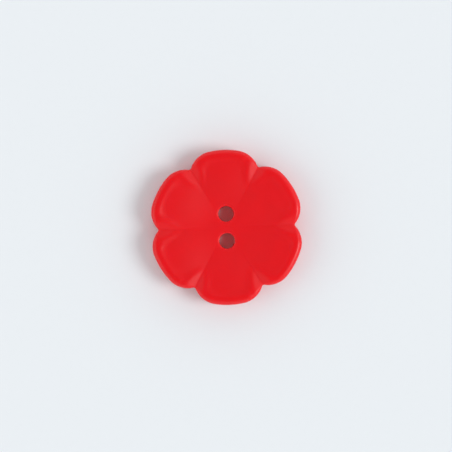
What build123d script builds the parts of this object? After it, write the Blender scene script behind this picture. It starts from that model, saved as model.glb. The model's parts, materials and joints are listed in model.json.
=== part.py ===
from build123d import *
import math
import os

# A six-petalled sew-through button with two holes, moulded in one piece.
# It lies on its flat back: +Z points out of the front, and +Y runs along the two holes to a petal's tip.
# Sizes are in millimetres and angles in degrees.

# Overall size
TIP_RADIUS = 10.0
THICKNESS = 3.2

# Outline of the petals, seen from the front
PETAL_COUNT = 6
TIP_ARC_HALF_ANGLE = 11.0
SHOULDER_RADIUS = 3.15
NOTCH_RADIUS = 0.3

# Low rim that follows the outline, with an inner flank that falls gently towards the petal faces
RIM_WIDTH = 1.0
RIM_OUTER_ROUND = 0.65
RIM_INNER_ROUND = 1.5
RIM_FLANK_SLOPE = 14.0
RIM_FLANK_END_ROUND = 0.15

# Bevel round the flat back
BACK_BEVEL = 0.35

# Petal faces: each is a flat pillow, a piece of a large ball whose top is near the petal's tip
FACE_DROP = 0.1
FACE_CREST_INSET = 1.0

# Creases between the petals: round-bottomed channels whose flanks curve over to the rim's crown
CREASE_DEPTH = 0.52
CREASE_FLANK_SLOPE = 24.0
CREASE_SHOULDER_ROUND = 1.5
CREASE_BOTTOM_ROUND = 0.3

# Level sunken middle of the front, out of which the petal faces rise just past the holes
MIDDLE_DEPTH = 0.76
MIDDLE_MARGIN = 0.08

# Thread holes
HOLE_DIAMETER = 2.0
HOLE_SPACING = 3.5
HOLE_FRONT_ROUND = 0.2
HOLE_BACK_BEVEL = 0.15

# Room that a cutting solid has past the surface that it cuts
OVERCUT = 1.0

PETAL_PITCH = 360.0 / PETAL_COUNT
FIRST_PETAL_ANGLE = 90.0
PETAL_ANGLES = [FIRST_PETAL_ANGLE + PETAL_PITCH * index for index in range(PETAL_COUNT)]
CREASE_ANGLES = [angle + PETAL_PITCH / 2 for angle in PETAL_ANGLES]


def polar(radius, angle):
    """Point in the XY plane at a radius and an angle from +X."""
    return Vector(radius * math.cos(math.radians(angle)), radius * math.sin(math.radians(angle)))


def petal_edges(petal_angle, inset):
    """Shoulder, tip arc, shoulder and the notch after them, parallel to the outline and inset from it."""
    shoulder_distance = TIP_RADIUS - SHOULDER_RADIUS
    half_gap = PETAL_PITCH / 2 - TIP_ARC_HALF_ANGLE
    sideways = shoulder_distance * math.sin(math.radians(half_gap))
    contact_distance = SHOULDER_RADIUS + NOTCH_RADIUS
    contact_angle = math.degrees(math.asin(sideways / contact_distance))
    notch_distance = shoulder_distance * math.cos(math.radians(half_gap)) + math.sqrt(
        contact_distance**2 - sideways**2
    )
    shoulder_sweep = half_gap + contact_angle
    near = petal_angle - TIP_ARC_HALF_ANGLE
    far = petal_angle + TIP_ARC_HALF_ANGLE
    crease = petal_angle + PETAL_PITCH / 2
    notch_start = crease + 180 + contact_angle
    shoulder_radius = SHOULDER_RADIUS - inset
    return [
        CenterArc(polar(shoulder_distance, near), shoulder_radius, near - shoulder_sweep, shoulder_sweep),
        CenterArc((0, 0), TIP_RADIUS - inset, near, 2 * TIP_ARC_HALF_ANGLE),
        CenterArc(polar(shoulder_distance, far), shoulder_radius, far, shoulder_sweep),
        CenterArc(polar(notch_distance, crease), NOTCH_RADIUS + inset, notch_start, -2 * contact_angle),
    ]


def flower(inset):
    """Flat face inside the petals' outline, smaller by an inset all round."""
    edges = []
    for angle in PETAL_ANGLES:
        edges += petal_edges(angle, inset)
    return make_face(edges)


def rim_pocket():
    """Room inside the rim: it narrows along the rim's flank and then goes straight down to the middle."""
    flank_end = SHOULDER_RADIUS - RIM_FLANK_END_ROUND
    flank_depth = (flank_end - RIM_WIDTH) * math.tan(math.radians(RIM_FLANK_SLOPE))
    flank = extrude(Pos(0, 0, THICKNESS) * flower(RIM_WIDTH), -flank_depth, taper=90 - RIM_FLANK_SLOPE)
    return flank + extrude(Pos(0, 0, THICKNESS) * flower(flank_end), -MIDDLE_DEPTH)


def rim_ring():
    """Wall along the outline, rounded over its crown, with a sloping inner flank and a bevelled back."""
    wall = extrude(flower(0), THICKNESS)
    wall = fillet(wall.edges().group_by(Axis.Z)[-1], RIM_OUTER_ROUND)
    wall = chamfer(wall.edges().group_by(Axis.Z)[0], BACK_BEVEL)
    wall -= rim_pocket()
    crown = wall.faces().filter_by(Plane.XY).sort_by(Axis.Z)[-1]
    return fillet(crown.inner_wires()[0].edges(), RIM_INNER_ROUND)


def petal_ball(petal_angle):
    """Large ball whose top is one petal's face; its poles point sideways, clear of the face."""
    crest_distance = TIP_RADIUS - FACE_CREST_INSET
    foot_distance = HOLE_SPACING / 2 + HOLE_DIAMETER / 2 + HOLE_FRONT_ROUND + MIDDLE_MARGIN
    rise = MIDDLE_DEPTH - FACE_DROP
    ball_radius = ((crest_distance - foot_distance) ** 2 + rise**2) / (2 * rise)
    crest = polar(crest_distance, petal_angle) + Vector(0, 0, THICKNESS - FACE_DROP)
    return Pos(crest) * Rot(0, 0, petal_angle) * Rot(90, 0, 0) * Pos(0, -ball_radius, 0) * Sphere(ball_radius)


def petal_faces():
    """Solid inside the rim, under the six pillow-shaped faces."""
    balls = Part() + [petal_ball(angle) for angle in PETAL_ANGLES]
    return extrude(flower(RIM_OUTER_ROUND), THICKNESS) & balls


def crease_section():
    """Half section of a crease, from its middle out to where its flank is level with the rim's crown."""
    slope = math.radians(CREASE_FLANK_SLOPE)
    bottom = Vector(0, THICKNESS - CREASE_DEPTH)
    bottom_end = bottom + Vector(math.sin(slope), 1 - math.cos(slope)) * CREASE_BOTTOM_ROUND
    shoulder_drop = CREASE_SHOULDER_ROUND * (1 - math.cos(slope))
    flank_rise = THICKNESS - shoulder_drop - bottom_end.Y
    flank_end = bottom_end + Vector(flank_rise / math.tan(slope), flank_rise)
    crest = flank_end + Vector(CREASE_SHOULDER_ROUND * math.sin(slope), shoulder_drop)
    outer_top = crest + Vector(0, OVERCUT)
    outline = [
        RadiusArc(bottom, bottom_end, -CREASE_BOTTOM_ROUND),
        Line(bottom_end, flank_end),
        RadiusArc(flank_end, crest, CREASE_SHOULDER_ROUND),
        Polyline(crest, outer_top, Vector(0, outer_top.Y), bottom),
    ]
    return make_face(outline)


def crease_cutter(crease_angle):
    """Level channel that runs out where the faces fall below its floor."""
    half = crease_section()
    section = half + mirror(half, Plane.YZ)
    section_plane = Plane((0, 0, 0), x_dir=(0, 1, 0), z_dir=(1, 0, 0))
    return Rot(0, 0, crease_angle) * (section_plane * extrude(section, TIP_RADIUS + OVERCUT))


def hole_mouths(body, hole_y):
    """Edges at the back and the front of the thread hole at a place on the Y axis."""
    rings = body.edges().filter_by(lambda edge: edge.is_closed)
    rings = rings.filter_by(lambda edge: abs(edge.center(CenterOf.MASS).Y - hole_y) < HOLE_DIAMETER / 4)
    return rings.sort_by(Axis.Z)


def add_thread_hole(body, hole_y):
    """Button with one more hole right through, rounded where the thread runs over its front mouth."""
    body -= Pos(0, hole_y, 0) * Cylinder(HOLE_DIAMETER / 2, 2 * (THICKNESS + OVERCUT))
    body = fillet(hole_mouths(body, hole_y)[-1], HOLE_FRONT_ROUND)
    return chamfer(hole_mouths(body, hole_y)[0], HOLE_BACK_BEVEL)


def flower_button():
    """Whole button."""
    body = rim_ring() + petal_faces()
    body -= [crease_cutter(angle) for angle in CREASE_ANGLES]
    body = add_thread_hole(body, HOLE_SPACING / 2)
    return add_thread_hole(body, -HOLE_SPACING / 2)


os.makedirs("parts", exist_ok=True)
button = flower_button()
export_step(button, "parts/flower_button.step")
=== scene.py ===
import json
import logging
import math
from dataclasses import dataclass, field
from enum import Enum

import bpy
import numpy as np
from mathutils import Euler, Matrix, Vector


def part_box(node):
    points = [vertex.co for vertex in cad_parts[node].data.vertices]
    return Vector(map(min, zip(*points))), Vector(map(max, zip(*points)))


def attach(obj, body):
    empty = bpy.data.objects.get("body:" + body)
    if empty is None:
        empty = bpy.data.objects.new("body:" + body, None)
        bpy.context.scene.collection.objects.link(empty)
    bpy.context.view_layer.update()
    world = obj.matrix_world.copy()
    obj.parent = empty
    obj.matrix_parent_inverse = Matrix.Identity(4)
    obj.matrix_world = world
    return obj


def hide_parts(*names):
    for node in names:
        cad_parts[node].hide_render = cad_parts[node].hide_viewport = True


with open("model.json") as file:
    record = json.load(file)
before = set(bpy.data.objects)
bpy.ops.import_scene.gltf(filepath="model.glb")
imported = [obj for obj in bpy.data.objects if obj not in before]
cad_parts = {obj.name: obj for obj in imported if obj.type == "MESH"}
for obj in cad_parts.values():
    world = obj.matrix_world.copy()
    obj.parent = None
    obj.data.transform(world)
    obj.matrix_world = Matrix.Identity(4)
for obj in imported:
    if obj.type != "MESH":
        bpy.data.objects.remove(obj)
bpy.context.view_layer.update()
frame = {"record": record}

LOG = logging.getLogger("flower_button")

# Sizes below are in millimetres and angles in degrees, and the finished mesh is in metres.
MM = 0.001

# Middle value of the noise nodes, and the length of one ring of the wave node at scale 1
NOISE_MEAN = 0.5
WAVE_LENGTH = 0.314

# Numbers of the Mix node's sockets for colours, several of which share a name
MIX_SHARE, MIX_FIRST, MIX_SECOND, MIX_RESULT = 0, 6, 7, 2

# Smallest number that a length is divided by
TINY = 1e-9

Colour = tuple[float, float, float, float]


def unit(degrees: np.ndarray | float) -> np.ndarray:
    """Unit vectors in the XY plane at angles from +X, a row of two numbers for each angle."""
    radians = np.radians(degrees)
    return np.stack([np.cos(radians), np.sin(radians)], axis=-1)


def steps(count: int) -> np.ndarray:
    """Shares from the first step above 0 up to 1, in even steps."""
    return np.linspace(0.0, 1.0, count + 1)[1:]


def soft_min(first: np.ndarray, second: np.ndarray | float, width: float) -> np.ndarray:
    """Lower of two heights, which melt into each other where they differ by less than the width."""
    nearness = np.maximum(width - np.abs(first - second), 0.0)
    return np.minimum(first, second) - nearness**2 / (4.0 * width)


def soft_max(first: np.ndarray, second: np.ndarray | float, width: float) -> np.ndarray:
    """Higher of two heights, which melt into each other where they differ by less than the width."""
    return -soft_min(-first, -second, width)


def smooth_step(values: np.ndarray, low: float, high: float) -> np.ndarray:
    """Rise from 0 at the low value to 1 at the high one, with level ends."""
    share = np.clip((values - low) / (high - low), 0.0, 1.0)
    return share * share * (3.0 - 2.0 * share)


class Value:
    """Output of a shader node that takes part in sums: each operator adds a Math node."""

    def __init__(self, recipe: "Recipe", socket: bpy.types.NodeSocket | None) -> None:
        """Wraps an output socket of a recipe's node tree."""
        self.recipe = recipe
        self.socket = socket

    def _sum(self, operation: str, first: "Value | float", second: "Value | float") -> "Value":
        """Result of a new Math node with an operation's name and two inputs."""
        return self.recipe.node("ShaderNodeMath", {"operation": operation}, {0: first, 1: second})

    def __add__(self, other: "Value | float") -> "Value":
        """Sum."""
        return self._sum("ADD", self, other)

    __radd__ = __add__

    def __sub__(self, other: "Value | float") -> "Value":
        """Difference."""
        return self._sum("SUBTRACT", self, other)

    def __rsub__(self, other: "Value | float") -> "Value":
        """Difference with the number first."""
        return self._sum("SUBTRACT", other, self)

    def __mul__(self, other: "Value | float") -> "Value":
        """Product."""
        return self._sum("MULTIPLY", self, other)

    __rmul__ = __mul__

    def __lt__(self, other: "Value | float") -> "Value":
        """1 where this is less than the other, else 0."""
        return self._sum("LESS_THAN", self, other)

    def clamped(self) -> "Value":
        """Same value held between 0 and 1."""
        return self.recipe.node("ShaderNodeClamp", {}, {"Value": self})


class Recipe:
    """Node tree of a material or of the world, emptied and ready to fill."""

    def __init__(self, owner: bpy.types.Material | bpy.types.World) -> None:
        """Turns the owner's nodes on and clears them.

        Args:
            owner: Material or world whose nodes are written.
        """
        owner.use_nodes = True
        self.tree = owner.node_tree
        self.tree.nodes.clear()

    def node(
        self, kind: str, settings: dict[str, object], inputs: dict[int | str, object], output: int | str = 0
    ) -> Value:
        """Adds a node, sets it up and feeds it.

        Args:
            kind: Type name of the node.
            settings: Properties of the node, set first. The key "stops" holds a ramp's places and colours.
            inputs: Numbers, colours or other nodes' values by the socket's name or number.
            output: Name or number of the socket that is handed on.

        Returns:
            The chosen output.
        """
        made = self.tree.nodes.new(kind)
        for name, setting in settings.items():
            if name == "stops":
                self._set_stops(made.color_ramp, setting)
            else:
                setattr(made, name, setting)
        for name, given in inputs.items():
            if isinstance(given, Value):
                self.tree.links.new(given.socket, made.inputs[name])
            else:
                made.inputs[name].default_value = given
        return Value(self, made.outputs[output] if made.outputs else None)

    @staticmethod
    def _set_stops(ramp: bpy.types.ColorRamp, stops: list[tuple[float, Colour]]) -> None:
        """Gives a colour ramp its stops.

        Args:
            ramp: Ramp with its two first stops.
            stops: Place and colour of each stop, two or more.
        """
        while len(ramp.elements) < len(stops):
            ramp.elements.new(1.0)
        for element, (place, colour) in zip(ramp.elements, stops):
            element.position = place
            element.color = colour

    def mixed(self, share: Value | float, first: Value | Colour, second: Value | Colour) -> Value:
        """Blend of two colours, where the share from 0 to 1 says how much of the second there is."""
        inputs = {MIX_SHARE: share, MIX_FIRST: first, MIX_SECOND: second}
        return self.node("ShaderNodeMix", {"data_type": "RGBA"}, inputs, MIX_RESULT)

    def attribute(self, name: str) -> Value:
        """Number that the mesh carries at each of its points."""
        return self.node("ShaderNodeAttribute", {"attribute_name": name}, {}, "Fac")

    def noise(self, place: Value, grain: float, layers: float = 2.0, twist: float = 0.0) -> Value:
        """Noise between 0 and 1, with clouds of a size, finer layers, and a twist that stirs them."""
        inputs = {"Vector": place, "Scale": 1.0 / (grain * MM), "Detail": layers, "Distortion": twist}
        return self.node("ShaderNodeTexNoise", {}, inputs, "Fac")


class Mark(Enum):
    """Parts of the surface that the mesh marks for its finish."""

    RIM = "rim_crown"
    CREASE = "crease_hollow"
    BACK = "flat_back"
    BORE = "hole_wall"


Marks = dict[Mark, np.ndarray | float]


@dataclass(frozen=True)
class TumbledPolyester:
    """Opaque red polyester, tumbled to a satin gloss, with softly stirred pigment and fine handling marks."""

    name: str = "red_polyester"

    # Colours, and how much of the deep one there is, on average and by the pigment's noises
    bright: Colour = (0.768, 0.0018, 0.007, 1.0)
    deep: Colour = (0.703, 0.0012, 0.005, 1.0)
    # Lighter red of the hole walls: a painted glow that stands in for the red light bouncing inside the holes
    painted_hole_glow: Colour = (0.96, 0.0012, 0.005, 1.0)
    deep_share: float = 0.45
    deep_by_stir: float = 1.2
    deep_by_speck: float = 0.5

    # Gloss, and the light that comes back from under the surface
    ior: float = 1.52
    specular: float = 0.33
    glow: float = 0.35
    glow_depth: float = 2.4
    glow_reach: tuple[float, float, float] = (1.0, 0.03, 0.02)

    # Roughness of the petals, and what is added to it or taken from it elsewhere
    roughness: float = 0.39
    rough_by_stir: float = 0.08
    rough_by_speck: float = 0.10
    scratch_dullness: float = 0.12
    crease_dullness: float = 0.14
    back_dullness: float = 0.08
    bore_dullness: float = 0.12
    rim_polish: float = 0.05

    # Sizes of the noises, and heights as shares of the peel's height
    stir_size: float = 3.2
    stir_layers: float = 3.0
    stir_twist: float = 0.6
    speck_size: float = 0.16
    speck_share: float = 0.12
    peel_size: float = 0.55
    peel_height: float = 0.0035
    scratch_length: float = 1.6
    scratch_width: float = 0.02
    scratch_gap: float = 0.08
    scratch_layers: float = 1.0
    scratch_angles: tuple[float, ...] = (17.0, 74.0, 131.0)
    scratch_threshold: float = 0.70
    scratch_sharpness: float = 12.0
    scratch_share: float = 0.5
    turning_pitch: float = 0.22
    turning_wobble: float = 0.6
    turning_layers: float = 1.0
    turning_share: float = 0.6

    def material(self) -> bpy.types.Material:
        """Makes the material.

        Returns:
            The material with all its nodes.
        """
        made = bpy.data.materials.new(self.name)
        recipe = Recipe(made)
        place = recipe.node("ShaderNodeTexCoord", {}, {}, "Object")
        rim = recipe.attribute(Mark.RIM.value)
        crease = recipe.attribute(Mark.CREASE.value)
        back = recipe.attribute(Mark.BACK.value)
        bore = recipe.attribute(Mark.BORE.value)

        stir = recipe.noise(place, self.stir_size, self.stir_layers, self.stir_twist) - NOISE_MEAN
        speck = recipe.noise(place, self.speck_size)
        grain = speck - NOISE_MEAN
        pigment = (stir * self.deep_by_stir + grain * self.deep_by_speck + self.deep_share).clamped()
        # The hole walls take the lighter red, a painted glow for the light that bounces inside the holes
        colour = recipe.mixed(bore, recipe.mixed(pigment, self.bright, self.deep), self.painted_hole_glow)

        scratches = self._scratches(recipe, place)
        rough = self.roughness + grain * self.rough_by_speck + stir * self.rough_by_stir
        rough = rough - rim * self.rim_polish + scratches * self.scratch_dullness
        rough = rough + back * self.back_dullness + bore * self.bore_dullness + crease * self.crease_dullness

        relief = recipe.noise(place, self.peel_size) + speck * self.speck_share
        relief = relief - scratches * self.scratch_share
        relief = relief + back * self._turning(recipe, place) * self.turning_share
        bump_inputs = {"Height": relief, "Distance": self.peel_height * MM, "Strength": 1.0}
        bump = recipe.node("ShaderNodeBump", {}, bump_inputs)
        surface = recipe.node(
            "ShaderNodeBsdfPrincipled",
            {},
            {
                "Base Color": colour,
                "Roughness": rough.clamped(),
                "Normal": bump,
                "IOR": self.ior,
                "Specular IOR Level": self.specular,
                "Subsurface Weight": self.glow,
                "Subsurface Radius": self.glow_reach,
                "Subsurface Scale": self.glow_depth * MM,
            },
        )
        recipe.node("ShaderNodeOutputMaterial", {}, {"Surface": surface})
        return made

    def _scratches(self, recipe: Recipe, place: Value) -> Value:
        """Hairlines left by handling, in a few directions.

        Args:
            recipe: Node tree that is being written.
            place: Coordinates in metres.

        Returns:
            1 in a hairline, more where hairlines cross, and 0 beside them.
        """
        stretch = self.scratch_length / self.scratch_width
        lines = []
        for angle in self.scratch_angles:
            turn = (0.0, 0.0, math.radians(angle))
            inputs = {"Vector": place, "Rotation": turn, "Scale": (stretch, 1.0, stretch)}
            turned = recipe.node("ShaderNodeMapping", {"vector_type": "TEXTURE"}, inputs)
            line = recipe.noise(turned, self.scratch_gap, self.scratch_layers)
            lines.append(((line - self.scratch_threshold) * self.scratch_sharpness).clamped())
        return sum(lines)

    def _turning(self, recipe: Recipe, place: Value) -> Value:
        """Faint rings that the facing cut leaves on the back.

        Args:
            recipe: Node tree that is being written.
            place: Coordinates in metres.

        Returns:
            Ring pattern between 0 and 1.
        """
        settings = {"wave_type": "RINGS", "rings_direction": "Z", "wave_profile": "SIN"}
        inputs = {
            "Vector": place,
            "Scale": WAVE_LENGTH / (self.turning_pitch * MM),
            "Distortion": self.turning_wobble,
            "Detail": self.turning_layers,
        }
        return recipe.node("ShaderNodeTexWave", settings, inputs, "Fac")


@dataclass(frozen=True)
class MattBoard:
    """Pale cool-grey board, which doesn't hide or shade the back of a button that lies on it."""

    name: str = "pale_board"
    colour: Colour = (0.800, 0.840, 0.872, 1.0)
    shade: Colour = (0.790, 0.830, 0.862, 1.0)
    grain: float = 0.9
    grain_layers: float = 3.0
    contact_gap: float = 0.05

    def material(self) -> bpy.types.Material:
        """Makes the material, which is clear from below and to rays that come from close by.

        Returns:
            The material with all its nodes.
        """
        made = bpy.data.materials.new(self.name)
        recipe = Recipe(made)
        place = recipe.node("ShaderNodeTexCoord", {}, {}, "Object")
        colour = recipe.mixed(recipe.noise(place, self.grain, self.grain_layers), self.colour, self.shade)
        board = recipe.node("ShaderNodeBsdfDiffuse", {}, {"Color": colour})
        clear = recipe.node("ShaderNodeBsdfTransparent", {}, {})
        from_below = recipe.node("ShaderNodeNewGeometry", {}, {}, "Backfacing")
        near = recipe.node("ShaderNodeLightPath", {}, {}, "Ray Length") < self.contact_gap * MM
        share = (from_below + near).clamped()
        surface = recipe.node("ShaderNodeMixShader", {}, {0: share, 1: board, 2: clear})
        recipe.node("ShaderNodeOutputMaterial", {}, {"Surface": surface})
        return made


@dataclass(frozen=True)
class Arc:
    """Part of the outline round a point at a distance and a bearing, with a negative radius in a notch."""

    distance: float
    bearing: float
    start: float
    end: float
    steps: int
    radius: float


@dataclass(frozen=True)
class PetalOutline:
    """Closed outline of round-tipped petals with a small round notch between each two."""

    tip_radius: float
    petals: int = 6
    tip_half_angle: float = 11.0
    shoulder_radius: float = 3.15
    notch_radius: float = 0.3

    # Numbers of spokes along each arc
    notch_steps: int = 12
    shoulder_steps: int = 24
    tip_steps: int = 24

    @property
    def pitch(self) -> float:
        """Angle from one petal to the next."""
        return 360.0 / self.petals

    @property
    def shoulder_distance(self) -> float:
        """How far the middle of a shoulder's arc is from the button's axis."""
        return self.tip_radius - self.shoulder_radius

    @property
    def half_gap(self) -> float:
        """Angle between a shoulder's middle and the crease beside it."""
        return self.pitch / 2.0 - self.tip_half_angle

    @property
    def contact_angle(self) -> float:
        """Half of the angle that a notch's arc turns through."""
        sideways = self.shoulder_distance * math.sin(math.radians(self.half_gap))
        return math.degrees(math.asin(sideways / (self.shoulder_radius + self.notch_radius)))

    @property
    def notch_distance(self) -> float:
        """Place of a notch.

        Returns:
            How far the middle of its arc is from the button's axis.
        """
        along = self.shoulder_distance * math.cos(math.radians(self.half_gap))
        reach = (self.shoulder_radius + self.notch_radius) * math.cos(math.radians(self.contact_angle))
        return along + reach

    def spokes(self) -> tuple[np.ndarray, np.ndarray]:
        """Points round the outline, anticlockwise from the crease on +X, with the outward normals.

        Returns:
            The points and the normals, one row of two numbers for each spoke.
        """
        half, tip, bend = self.pitch / 2.0, self.tip_half_angle, self.contact_angle
        sweep = self.half_gap + bend
        shoulder, notch = self.shoulder_distance, self.notch_distance
        arcs = [
            Arc(notch, -half, 180.0 - half, 180.0 - half - bend, self.notch_steps, -self.notch_radius),
            Arc(shoulder, -tip, -tip - sweep, -tip, self.shoulder_steps, self.shoulder_radius),
            Arc(0.0, 0.0, -tip, tip, self.tip_steps, self.tip_radius),
            Arc(shoulder, tip, tip, tip + sweep, self.shoulder_steps, self.shoulder_radius),
            Arc(notch, half, 180.0 + half + bend, 180.0 + half, self.notch_steps, -self.notch_radius),
        ]
        points, normals = [], []
        for petal in range(self.petals):
            axis = self.pitch * (petal + 0.5)
            for arc in arcs:
                turn = unit(axis + np.linspace(arc.start, arc.end, arc.steps, endpoint=False))
                centre = arc.distance * unit(axis + arc.bearing)
                points.append(centre + abs(arc.radius) * turn)
                normals.append(math.copysign(1.0, arc.radius) * turn)
        return np.concatenate(points), np.concatenate(normals)

    def folded(self, points: np.ndarray) -> np.ndarray:
        """Points moved by symmetry into the half petal between 0 and half a pitch.

        Args:
            points: Rows of x and y.

        Returns:
            The same distances from the axis, at angles measured from the nearest petal's middle.
        """
        angle = np.degrees(np.arctan2(points[:, 1], points[:, 0]))
        from_crease = np.abs((angle + self.pitch / 2.0) % self.pitch - self.pitch / 2.0)
        reach = np.hypot(points[:, 0], points[:, 1])
        return reach[:, None] * unit(self.pitch / 2.0 - from_crease)

    def inset(self, points: np.ndarray) -> np.ndarray:
        """How far points are inside the outline.

        Args:
            points: Rows of x and y inside the outline.

        Returns:
            The distances.
        """
        local = self.folded(points)
        angle = np.degrees(np.arctan2(local[:, 1], local[:, 0]))
        from_tip = self.tip_radius - np.hypot(local[:, 0], local[:, 1])
        arm = local - self.shoulder_distance * unit(self.tip_half_angle)
        bearing = np.degrees(np.arctan2(arm[:, 1], arm[:, 0]))
        on_shoulder = (bearing >= self.tip_half_angle) & (bearing <= self.pitch / 2.0 + self.contact_angle)
        from_shoulder = self.shoulder_radius - np.hypot(arm[:, 0], arm[:, 1])
        to_notch = local - self.notch_distance * unit(self.pitch / 2.0)
        from_notch = np.hypot(to_notch[:, 0], to_notch[:, 1]) - self.notch_radius
        on_tip = angle <= self.tip_half_angle
        elsewhere = np.minimum(np.where(on_tip, from_tip, from_notch), from_notch)
        return np.where(on_shoulder & ~on_tip, from_shoulder, elsewhere)


@dataclass(frozen=True)
class FaceRelief:
    """Heights of the front: low rim, pillow-shaped petals, creases between them and a sunken middle."""

    outline: PetalOutline
    thickness: float

    # Rim, with the round along the outline, which is tighter where a crease runs out
    rim_width: float = 1.0
    outer_round: float = 0.65
    crease_end_round: float = 0.2
    inner_round: float = 1.5
    flank_slope: float = 14.0

    # Petals, which are pieces of large balls with their tops near the petals' tips
    face_drop: float = 0.10
    crest_distance: float = 9.0
    ball_radius: float = 27.33

    # Creases, with round bottoms and shoulders, and a gentle rise past the shoulders
    crease_depth: float = 0.42
    crease_flank: float = 19.0
    crease_shoulder: float = 2.2
    crease_bottom: float = 0.3
    crease_rise: float = 0.5

    # Sunken middle
    middle_depth: float = 0.76

    # Differences in height within which two surfaces melt into each other
    rim_foot_blend: float = 0.10
    valley_blend: float = 0.04
    crease_blend: float = 0.22
    middle_blend: float = 0.40

    # Differences in height over which the marks of the rim and of the creases set in
    rim_mark: tuple[float, float] = (0.02, 0.09)
    crease_mark: tuple[float, float] = (-0.05, 0.25)

    def rim(self, inset: np.ndarray) -> np.ndarray:
        """Height of the rim's crown and of its inner flank.

        Args:
            inset: Distances inside the outline.

        Returns:
            The heights, without the round along the outline.
        """
        slope = math.radians(self.flank_slope)
        start = self.rim_width - self.inner_round * math.tan(slope / 2.0)
        bent = np.clip(inset - start, 0.0, self.inner_round * math.sin(slope))
        drop = self.inner_round - np.sqrt(self.inner_round**2 - bent**2)
        return self.thickness - drop - np.maximum(inset - start - bent, 0.0) * math.tan(slope)

    def petals(self, points: np.ndarray) -> np.ndarray:
        """Height of the pillow-shaped petal faces.

        Args:
            points: Rows of x and y.

        Returns:
            The heights.
        """
        local = self.outline.folded(points)
        top = self.thickness - self.face_drop - self.ball_radius
        pillows = []
        for bearing in (0.0, self.outline.pitch):
            squared = ((local - self.crest_distance * unit(bearing)) ** 2).sum(axis=1)
            pillows.append(top + np.sqrt(self.ball_radius**2 - squared))
        return soft_max(pillows[0], pillows[1], self.valley_blend)

    def crease(self, points: np.ndarray) -> np.ndarray:
        """Height of the level channel along the nearest crease.

        Args:
            points: Rows of x and y.

        Returns:
            The heights, which rise past the rim's crown away from the crease.
        """
        local = self.outline.folded(points)
        half = math.radians(self.outline.pitch / 2.0)
        across = np.abs(local[:, 0] * math.sin(half) - local[:, 1] * math.cos(half))
        slope = math.radians(self.crease_flank)
        floor = self.thickness - self.crease_depth
        bottom_end = self.crease_bottom * math.sin(slope)
        bottom_rise = self.crease_bottom * (1.0 - math.cos(slope))
        shoulder_drop = self.crease_shoulder * (1.0 - math.cos(slope))
        flank_end = bottom_end + (self.crease_depth - bottom_rise - shoulder_drop) / math.tan(slope)
        crest = flank_end + self.crease_shoulder * math.sin(slope)
        in_bottom = np.minimum(across, bottom_end)
        bottom = floor + self.crease_bottom - np.sqrt(self.crease_bottom**2 - in_bottom**2)
        flank = bottom + np.clip(across - bottom_end, 0.0, flank_end - bottom_end) * math.tan(slope)
        to_crest = np.clip(crest - across, 0.0, crest - flank_end)
        shoulder = self.thickness - self.crease_shoulder + np.sqrt(self.crease_shoulder**2 - to_crest**2)
        rise = self.crease_rise * np.maximum(across - crest, 0.0) ** 2
        return np.where(across > flank_end, shoulder + rise, flank)

    def front(self, points: np.ndarray, inset: np.ndarray) -> tuple[np.ndarray, Marks]:
        """Height of the whole front without the round along the outline.

        Args:
            points: Rows of x and y.
            inset: The points' distances inside the outline.

        Returns:
            The heights, and how far each point belongs to the rim and to a crease, from 0 to 1.
        """
        petals = soft_max(self.petals(points), self.thickness - self.middle_depth, self.middle_blend)
        body = soft_max(self.rim(inset), petals, self.rim_foot_blend)
        crease = self.crease(points)
        marks = {
            Mark.RIM: smooth_step(body - petals, *self.rim_mark),
            Mark.CREASE: smooth_step(body - crease, *self.crease_mark),
        }
        return soft_min(body, crease, self.crease_blend), marks

    def edge_round(self, edge_height: np.ndarray) -> np.ndarray:
        """Radius of the round along the outline, tighter where a crease lowers the front's edge."""
        share = (self.thickness - edge_height) / self.crease_depth
        return self.outer_round + (self.crease_end_round - self.outer_round) * np.clip(share, 0.0, 1.0)


@dataclass
class Skin:
    """Closed skin of quads, laid ring by ring."""

    points: list[np.ndarray] = field(default_factory=list)
    marks: dict[Mark, list[np.ndarray]] = field(default_factory=lambda: {mark: [] for mark in Mark})
    quads: list[np.ndarray] = field(default_factory=list)
    count: int = 0

    def ring(self, places: np.ndarray, heights: np.ndarray | float, marks: Marks) -> np.ndarray:
        """Adds a row of points.

        Args:
            places: Rows of x and y.
            heights: Height of each point, or one height for all.
            marks: Strength of each mark at the points, 0 where a mark isn't named.

        Returns:
            Numbers of the new points.
        """
        size = len(places)
        self.points.append(np.column_stack([places, np.broadcast_to(heights, size)]))
        for mark, values in self.marks.items():
            values.append(np.broadcast_to(marks.get(mark, 0.0), size).astype(float))
        first = self.count
        self.count += size
        return np.arange(first, self.count)

    def band(self, first: np.ndarray, second: np.ndarray) -> np.ndarray:
        """Joins two closed rings with quads.

        Args:
            first: Numbers of the ring's points.
            second: Numbers of the next ring's points, as many.

        Returns:
            The second ring, ready for the next band.
        """
        ahead_first, ahead_second = np.roll(first, -1), np.roll(second, -1)
        self.quads.append(np.stack([first, ahead_first, ahead_second, second], axis=1))
        return second

    def at(self, numbers: np.ndarray) -> np.ndarray:
        """Rows of x, y and z of the points with these numbers."""
        return np.concatenate(self.points)[numbers]

    def mesh(self, name: str) -> bpy.types.Mesh:
        """Makes the mesh in metres.

        Args:
            name: Name of the mesh.

        Returns:
            The mesh, shaded smooth, with its marks as point attributes.
        """
        made = bpy.data.meshes.new(name)
        points = np.concatenate(self.points) * MM
        made.from_pydata(points.tolist(), [], np.concatenate(self.quads).tolist())
        made.polygons.foreach_set("use_smooth", np.ones(len(made.polygons), bool))
        for mark, values in self.marks.items():
            attribute = made.attributes.new(mark.value, "FLOAT", "POINT")
            attribute.data.foreach_set("value", np.concatenate(values).astype(np.float32))
        made.update()
        return made


class Half(Enum):
    """Halves of the button, each with one thread hole, by the sign of y."""

    UPPER = 1
    LOWER = -1


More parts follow.
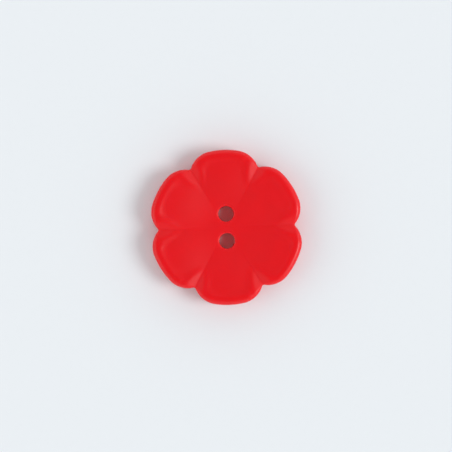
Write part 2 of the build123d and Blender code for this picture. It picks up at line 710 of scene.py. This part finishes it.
@dataclass(frozen=True)
class ThreadHoles:
    """Two round holes with a rounded front mouth and a bevelled back mouth, and the collar round both."""

    radius: float
    offset: float
    front_round: float = 0.2
    back_bevel: float = 0.15

    # Room between the holes and the collar, and the numbers of points and rings
    land: float = 0.9
    middle_steps: int = 32
    patch_rings: int = 14
    mouth_rings: int = 6
    wall_rings: int = 8
    back_rings: int = 4

    def collar(self, bearings: np.ndarray) -> np.ndarray:
        """Points on the long round-ended loop that goes round both holes.

        Args:
            bearings: Angles of the points from +X, seen from the button's axis.

        Returns:
            Rows of x and y.
        """
        reach = self.radius + self.land
        ray = unit(bearings)
        across, up = np.abs(ray[:, 0]), np.abs(ray[:, 1])
        on_side = reach * up <= self.offset * across
        side = reach / np.maximum(across, TINY)
        root = np.sqrt(np.maximum(reach**2 - (self.offset * across) ** 2, 0.0))
        return np.where(on_side, side, self.offset * up + root)[:, None] * ray

    def middle(self) -> np.ndarray:
        """Points between the holes, across the collar.

        Returns:
            Rows of x and y from the left side to the right side, without the ends.
        """
        reach = self.radius + self.land
        places = np.linspace(-reach, reach, self.middle_steps + 1)[1:-1]
        return np.column_stack([places, np.zeros_like(places)])


@dataclass(frozen=True)
class FlowerButton:
    """Six-petalled two-hole button, moulded in one piece and lying on its flat back."""

    outline: PetalOutline
    relief: FaceRelief
    holes: ThreadHoles
    finish: TumbledPolyester
    node: str = "flower_button"
    slot: str = "red_plastic"
    body: str = "root"
    back_bevel: float = 0.35
    edge_softness: float = 0.12

    # How far the rim's rings reach inside the outline, and the numbers of steps and rings
    rim_reach: float = 1.5
    edge_steps: int = 5
    round_rings: int = 10
    rim_rings: int = 14
    face_rings: int = 40
    wall_rings: int = 8
    back_rings: int = 8

    def build(self) -> bpy.types.Object:
        """Makes the button, dresses it and lets it stand for the CAD node.

        Returns:
            The button.
        """
        skin = Skin()
        back, front = self._shell(skin)
        front_middle, back_middle = self._middle(skin)
        for half in Half:
            front_loop = self._half_loop(half, front, front_middle)
            self._hole(skin, half, front_loop, self._half_loop(half, back, back_middle))
        mesh = skin.mesh("petalled_button")
        made = bpy.data.objects.new(mesh.name, mesh)
        bpy.context.scene.collection.objects.link(made)
        made.data.materials.append(self.finish.material())
        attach(made, self.body)
        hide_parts(self.node)
        LOG.info("%s: %d points, %d faces", made.name, len(mesh.vertices), len(mesh.polygons))
        return made

    def _edge_profile(self) -> list[tuple[float, float]]:
        """Inset and height of the softened bevel round the back, from the back up to the wall.

        Returns:
            The profile's points.
        """
        size, soft = self.back_bevel, self.edge_softness
        diagonal = soft * math.sqrt(0.5)
        corners = [
            ((size + soft, 0.0), (size, 0.0), (size - diagonal, diagonal)),
            ((diagonal, size - diagonal), (0.0, size), (0.0, size + soft)),
        ]
        profile = []
        for start, corner, end in corners:
            for share in np.linspace(0.0, 1.0, self.edge_steps):
                weights = ((1.0 - share) ** 2, 2.0 * share * (1.0 - share), share**2)
                profile.append(tuple(np.dot(weights, (start, corner, end))))
        return profile

    def _shell(self, skin: Skin) -> tuple[np.ndarray, np.ndarray]:
        """Lays the skin from the collar on the back round the outline to the collar on the front.

        Args:
            skin: Skin that takes the rings.

        Returns:
            The collar's points on the back and on the front.
        """
        points, normals = self.outline.spokes()
        inner = points - normals * self.rim_reach
        bearings = np.degrees(np.arctan2(inner[:, 1], inner[:, 0]))
        collar = self.holes.collar(bearings)
        profile = self._edge_profile()

        last = back = skin.ring(collar, 0.0, {Mark.BACK: 1.0})
        back_edge = points - normals * profile[0][0]
        for share in steps(self.back_rings)[:-1]:
            places = collar + (back_edge - collar) * share
            last = skin.band(last, skin.ring(places, 0.0, {Mark.BACK: 1.0}))
        for inset, height in profile:
            mark = {Mark.BACK: float(height <= 0.0)}
            last = skin.band(last, skin.ring(points - normals * inset, height, mark))

        edge_height, _ = self.relief.front(points, np.zeros(len(points)))
        rounds = self.relief.edge_round(edge_height)
        wall_foot, wall_top = profile[-1][1], edge_height - rounds
        for share in steps(self.wall_rings)[:-1]:
            last = skin.band(last, skin.ring(points, wall_foot + (wall_top - wall_foot) * share, {}))
        for turn in np.radians(np.linspace(0.0, 90.0, self.round_rings + 1)):
            insets = rounds * (1.0 - math.cos(turn))
            last = skin.band(last, self._front_ring(skin, points - normals * insets[:, None], insets, rounds))
        for share in steps(self.rim_rings):
            insets = rounds + (self.rim_reach - rounds) * share
            last = skin.band(last, self._front_ring(skin, points - normals * insets[:, None], insets, rounds))
        for share in steps(self.face_rings):
            places = inner + (collar - inner) * share
            last = skin.band(last, self._front_ring(skin, places, self.outline.inset(places), rounds))
        return back, last

    def _front_ring(
        self, skin: Skin, places: np.ndarray, insets: np.ndarray, rounds: np.ndarray
    ) -> np.ndarray:
        """Adds a ring on the front.

        Args:
            skin: Skin that takes the ring.
            places: Rows of x and y.
            insets: The points' distances inside the outline.
            rounds: Radius of the round along the outline at each spoke.

        Returns:
            Numbers of the ring's points.
        """
        heights, marks = self.relief.front(places, insets)
        reach = np.clip(rounds - insets, 0.0, rounds)
        drop = rounds - np.sqrt(rounds**2 - reach**2)
        return skin.ring(places, heights - drop, marks)

    def _hole(self, skin: Skin, half: Half, front_loop: np.ndarray, back_loop: np.ndarray) -> None:
        """Fills the loops round one thread hole, on the front and on the back, and lays the hole's wall.

        Args:
            skin: Skin that takes the rings.
            half: Which hole this is.
            front_loop: Numbers of the points round the hole on the front.
            back_loop: Numbers of the points round the hole on the back.
        """
        centre = np.array([0.0, half.value * self.holes.offset])
        arms = skin.at(front_loop)[:, :2] - centre
        spans = np.hypot(arms[:, 0], arms[:, 1])
        rays = arms / spans[:, None]

        last = front_loop
        mouth = self.holes.radius + self.holes.front_round
        for share in steps(self.holes.patch_rings):
            radii = spans + (mouth - spans) * share
            last = skin.band(last, self._hole_ring(skin, centre, rays, radii, 0.0))
        for turn in np.radians(np.linspace(0.0, 90.0, self.holes.mouth_rings + 1))[1:]:
            radii = mouth - self.holes.front_round * math.sin(turn)
            drop = self.holes.front_round * (1.0 - math.cos(turn))
            last = skin.band(last, self._hole_ring(skin, centre, rays, radii, drop))

        top, foot = skin.at(last)[:, 2], self.holes.back_bevel
        wall = centre + rays * self.holes.radius
        for share in steps(self.holes.wall_rings):
            last = skin.band(last, skin.ring(wall, top + (foot - top) * share, {Mark.BORE: 1.0}))
        bevel = self.holes.radius + self.holes.back_bevel
        last = skin.band(last, skin.ring(centre + rays * bevel, 0.0, {Mark.BACK: 1.0}))
        for share in steps(self.holes.back_rings)[:-1]:
            radii = bevel + (spans - bevel) * share
            last = skin.band(last, skin.ring(centre + rays * radii[:, None], 0.0, {Mark.BACK: 1.0}))
        skin.band(last, back_loop)

    def _middle(self, skin: Skin) -> tuple[np.ndarray, np.ndarray]:
        """Adds the points between the holes, which both halves share.

        Args:
            skin: Skin that takes the points.

        Returns:
            Numbers of the front's and the back's points, from left to right.
        """
        places = self.holes.middle()
        heights, _ = self.relief.front(places, self.outline.inset(places))
        return skin.ring(places, heights, {}), skin.ring(places, 0.0, {Mark.BACK: 1.0})

    @staticmethod
    def _half_loop(half: Half, collar: np.ndarray, middle: np.ndarray) -> np.ndarray:
        """Closed loop round one hole, along half of the collar and back between the holes.

        Args:
            half: Which hole the loop goes round.
            collar: Numbers of the collar's points, anticlockwise from its right side.
            middle: Numbers of the points between the holes, from left to right.

        Returns:
            Numbers of the loop's points.
        """
        count = len(collar) // 2
        if half is Half.UPPER:
            return np.concatenate([collar[: count + 1], middle])
        return np.concatenate([collar[count:], collar[:1], middle[::-1]])

    def _hole_ring(
        self, skin: Skin, centre: np.ndarray, rays: np.ndarray, radii: np.ndarray | float, drop: float
    ) -> np.ndarray:
        """Adds a ring round a hole on the front.

        Args:
            skin: Skin that takes the ring.
            centre: Middle of the hole.
            rays: Directions of the ring's points from the middle.
            radii: Distances of the ring's points from the middle.
            drop: How far the ring is below the front.

        Returns:
            Numbers of the ring's points.
        """
        places = centre + rays * np.broadcast_to(radii, len(rays))[:, None]
        heights, _ = self.relief.front(places, self.outline.inset(places))
        return skin.ring(places, heights - drop, {})


@dataclass(frozen=True)
class SoftLamp:
    """Far soft lamp, seen from the button as a disc at an azimuth from the picture's right."""

    name: str
    azimuth: float
    elevation: float
    spread: float
    share: float

    def build(self, turn: float) -> bpy.types.Object:
        """Makes the lamp.

        Args:
            turn: Angle of the picture's right from +X.

        Returns:
            The lamp, which gives the floor its share of the light.
        """
        light = bpy.data.lights.new(self.name, "SUN")
        light.angle = math.radians(self.spread)
        light.energy = self.share * math.pi / math.sin(math.radians(self.elevation))
        made = bpy.data.objects.new(self.name, light)
        tilt, swing = math.radians(90.0 - self.elevation), math.radians(turn + self.azimuth + 90.0)
        made.rotation_euler = Euler((tilt, 0.0, swing))
        bpy.context.scene.collection.objects.link(made)
        LOG.info("%s: %.2f of the floor's light", made.name, self.share)
        return made


@dataclass(frozen=True)
class Studio:
    """Pale board, soft lamps, and light from all round that is strongest low down and weakest overhead."""

    board: MattBoard
    lamps: tuple[SoftLamp, ...]
    turn: float

    # Heights in the sky, from 0 at the horizon to 1 overhead, each with the light's level there
    sky: tuple[tuple[float, float], ...] = ((0.0, 0.95), (0.3, 1.33), (1.0, 0.15))
    board_size: float = 3000.0
    board_gap: float = 0.01

    def build(self) -> None:
        """Makes the board, the lamps and the light from all round."""
        half = self.board_size / 2.0 * MM
        mesh = bpy.data.meshes.new("board")
        corners = [(-half, -half, 0.0), (half, -half, 0.0), (half, half, 0.0), (-half, half, 0.0)]
        mesh.from_pydata(corners, [], [(0, 1, 2, 3)])
        floor = bpy.data.objects.new("board", mesh)
        floor.location.z = -self.board_gap * MM
        bpy.context.scene.collection.objects.link(floor)
        floor.data.materials.append(self.board.material())
        for lamp in self.lamps:
            lamp.build(self.turn)
        self._air()
        LOG.info("%s: board and light from all round", floor.name)

    def _air(self) -> None:
        """Gives the world its light by height, and shows the camera the board's colour past the board."""
        world = bpy.data.worlds.new("air")
        bpy.context.scene.world = world
        recipe = Recipe(world)
        seen = recipe.node("ShaderNodeLightPath", {}, {}, "Is Camera Ray")
        direction = recipe.node("ShaderNodeTexCoord", {}, {}, "Generated")
        height = recipe.node("ShaderNodeSeparateXYZ", {}, {0: direction}, "Z")
        stops = [(place, (level, level, level, 1.0)) for place, level in self.sky]
        light = recipe.node("ShaderNodeValToRGB", {"stops": stops}, {0: height})
        colour = recipe.mixed(seen, light, self.board.colour)
        surface = recipe.node("ShaderNodeBackground", {}, {"Color": colour, "Strength": 1.0})
        recipe.node("ShaderNodeOutputWorld", {}, {"Surface": surface})


@dataclass(frozen=True)
class OverheadCamera:
    """Camera straight above the button, at the photograph's angle."""

    lens: float = 200.0
    sensor: float = 36.0
    frame_width: float = 58.1
    turn: float = -2.3
    offset: tuple[float, float] = (-0.064, 0.180)
    focus_height: float = 3.0

    # Nearest and farthest distance that is seen, as shares of the camera's distance
    clip_shares: tuple[float, float] = (0.1, 10.0)

    def build(self) -> bpy.types.Object:
        """Makes the camera and hands it to the scene.

        Returns:
            The camera.
        """
        data = bpy.data.cameras.new("overhead")
        data.lens = self.lens
        data.sensor_width = self.sensor
        distance = self.lens / self.sensor * self.frame_width
        data.clip_start, data.clip_end = (share * distance * MM for share in self.clip_shares)
        made = bpy.data.objects.new("overhead", data)
        turn = math.radians(self.turn)
        across, up = self.offset
        x = across * math.cos(turn) - up * math.sin(turn)
        y = across * math.sin(turn) + up * math.cos(turn)
        made.location = Vector((x, y, self.focus_height + distance)) * MM
        made.rotation_euler = Euler((0.0, 0.0, turn))
        bpy.context.scene.collection.objects.link(made)
        bpy.context.scene.camera = made
        LOG.info("%s: %.0f mm above the button", made.name, distance)
        return made


def main() -> None:
    """Builds the button and the studio round it."""
    logging.basicConfig(level=logging.INFO, format="%(name)s: %(message)s")
    low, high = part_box("flower_button")
    mounts = {mount["name"]: mount for mount in frame["record"]["mounts"]}
    upper_hole = mounts["thread_hole_upper"]
    outline = PetalOutline(tip_radius=high.y / MM)
    relief = FaceRelief(outline=outline, thickness=(high.z - low.z) / MM)
    holes = ThreadHoles(radius=upper_hole["dims"]["r_mm"], offset=upper_hole["pos_m"][1] / MM)
    FlowerButton(outline, relief, holes, TumbledPolyester()).build()

    camera = OverheadCamera()
    key = SoftLamp("key_lamp", azimuth=-10.0, elevation=44.0, spread=28.0, share=0.30)
    fill = SoftLamp("fill_lamp", azimuth=187.0, elevation=35.0, spread=40.0, share=0.06)
    Studio(MattBoard(), (key, fill), camera.turn).build()
    camera.build()

    bpy.context.scene.view_settings.view_transform = "Standard"


if __name__ == "__main__":
    main()
